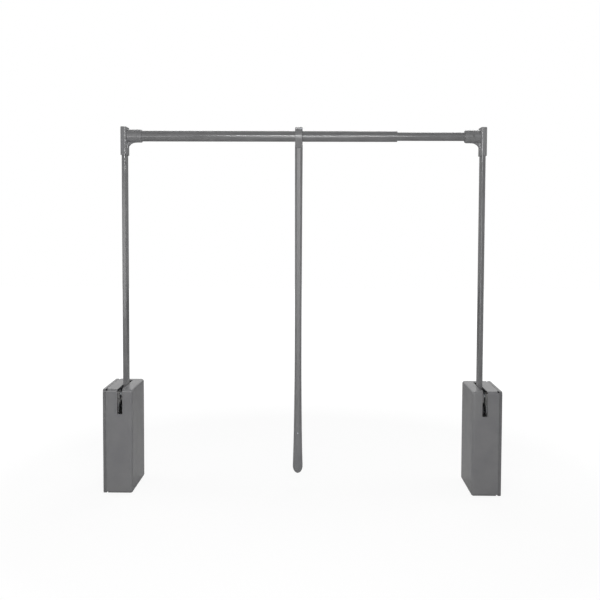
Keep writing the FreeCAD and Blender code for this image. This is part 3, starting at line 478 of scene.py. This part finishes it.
CAMERA_PLACE = (0.0259, -1.982, 0.6188)
CAMERA_TURN = 0.931         # degrees to the left
CAMERA_TILT = 2.825         # degrees down
CAMERA_ROLL = 0.209         # degrees anticlockwise
SENSOR_WIDTH = 36.0         # millimetres, as the focal length is
FOCAL_LENGTH = 51.0
FRAME_SHIFT = -0.0576       # of the frame's width


def floor():
    """Flat square of floor at the object's foot. To the camera it glows white, but near the object a
    fifth of what it sees is the painted floor, which keeps the soft shadow."""
    half = FLOOR_HALF_WIDTH
    corners = [(-half, -half, 0), (half, -half, 0), (half, half, 0), (-half, half, 0)]
    mesh = bpy.data.meshes.new("studio_floor")
    mesh.from_pydata(corners, [], [(0, 1, 2, 3)])
    obj = add_object("studio_floor", mesh)
    material = bpy.data.materials.new("painted_studio_floor")
    tree = empty_tree(material)
    paint = add_node(tree, "BsdfDiffuse", values={"Color": linear(FLOOR_PAINT)})
    glow = add_node(tree, "Emission", values={"Color": WHITE, "Strength": FLOOR_GLOW})
    path = add_node(tree, "LightPath")
    place = add_node(tree, "TexCoord")
    away = add_node(tree, "VectorMath", settings={"operation": "LENGTH"}, links={0: (place, "Object")})
    fade = add_node(tree, "MapRange",
                    values={"From Min": FADE_START, "From Max": FADE_END,
                            "To Min": NEAR_SHARE, "To Max": FAR_SHARE},
                    links={"Value": (away, "Value")})
    share = add_node(tree, "Math", settings={"operation": "MULTIPLY"},
                     links={0: (path, "Is Camera Ray"), 1: (fade, "Result")})
    mixed = add_node(tree, "MixShader",
                     links={0: (share, "Value"), 1: (paint, "BSDF"), 2: (glow, "Emission")})
    add_node(tree, "OutputMaterial", links={"Surface": (mixed, "Shader")})
    mesh.materials.append(material)


def world():
    """White to the camera and through clear things, and a soft even light on the object. Reflections
    show a white band all round, 10 to 17 degrees above the horizon, between a dim wall below it and a
    dim ceiling."""
    made = bpy.data.worlds.new("white_studio")
    bpy.context.scene.world = made
    tree = empty_tree(made)
    path = add_node(tree, "LightPath")
    direction = add_node(tree, "TexCoord")
    split = add_node(tree, "SeparateXYZ", links={"Vector": (direction, "Generated")})
    wall = add_node(tree, "ValToRGB", links={"Fac": (split, "Z")},
                    stops=[(sine, (level, level, level, 1)) for sine, level in WALL_BANDS])
    soft = add_node(tree, "Background", values={"Color": WHITE, "Strength": SKY_LIGHT})
    reflected = add_node(tree, "Background", values={"Strength": 1.0}, links={"Color": (wall, "Color")})
    white = add_node(tree, "Background", values={"Color": WHITE, "Strength": 1.0})
    unseen = add_node(tree, "MixShader",
                      links={0: (path, "Is Glossy Ray"), 1: (soft, "Background"),
                             2: (reflected, "Background")})
    seen = add_node(tree, "Math", settings={"operation": "MAXIMUM"},
                    links={0: (path, "Is Camera Ray"), 1: (path, "Is Transmission Ray")})
    mixed = add_node(tree, "MixShader",
                     links={0: (seen, "Value"), 1: (unseen, "Shader"), 2: (white, "Background")})
    add_node(tree, "OutputWorld", links={"Surface": (mixed, "Shader")})


def softbox(name, place, aim, width, height, watts):
    """Rectangular area light at a place, turned to face a point."""
    light = bpy.data.lights.new(name, "AREA")
    light.shape = "RECTANGLE"
    light.size = width
    light.size_y = height
    light.energy = watts
    obj = add_object(name, light)
    obj.location = place
    obj.rotation_euler = (Vector(aim) - Vector(place)).to_track_quat("-Z", "Y").to_euler()


def camera():
    """Camera 2 m in front of the rail and 0.62 m above the floor, a little right of the middle. From
    level and square to the rail it is rolled, then tilted down, then turned to the left."""
    lens = bpy.data.cameras.new("camera")
    lens.sensor_width = SENSOR_WIDTH
    lens.lens = FOCAL_LENGTH
    lens.shift_y = FRAME_SHIFT
    obj = add_object("camera", lens)
    turn = Matrix.Rotation(math.radians(CAMERA_TURN), 4, "Z")
    tilt = Matrix.Rotation(math.radians(90 - CAMERA_TILT), 4, "X")
    roll = Matrix.Rotation(math.radians(CAMERA_ROLL), 4, "Z")
    obj.matrix_world = Matrix.Translation(CAMERA_PLACE) @ turn @ tilt @ roll
    bpy.context.scene.camera = obj


floor()
world()
for each in SOFTBOXES:
    softbox(*each)
camera()
bpy.context.scene.view_settings.view_transform = "Standard"
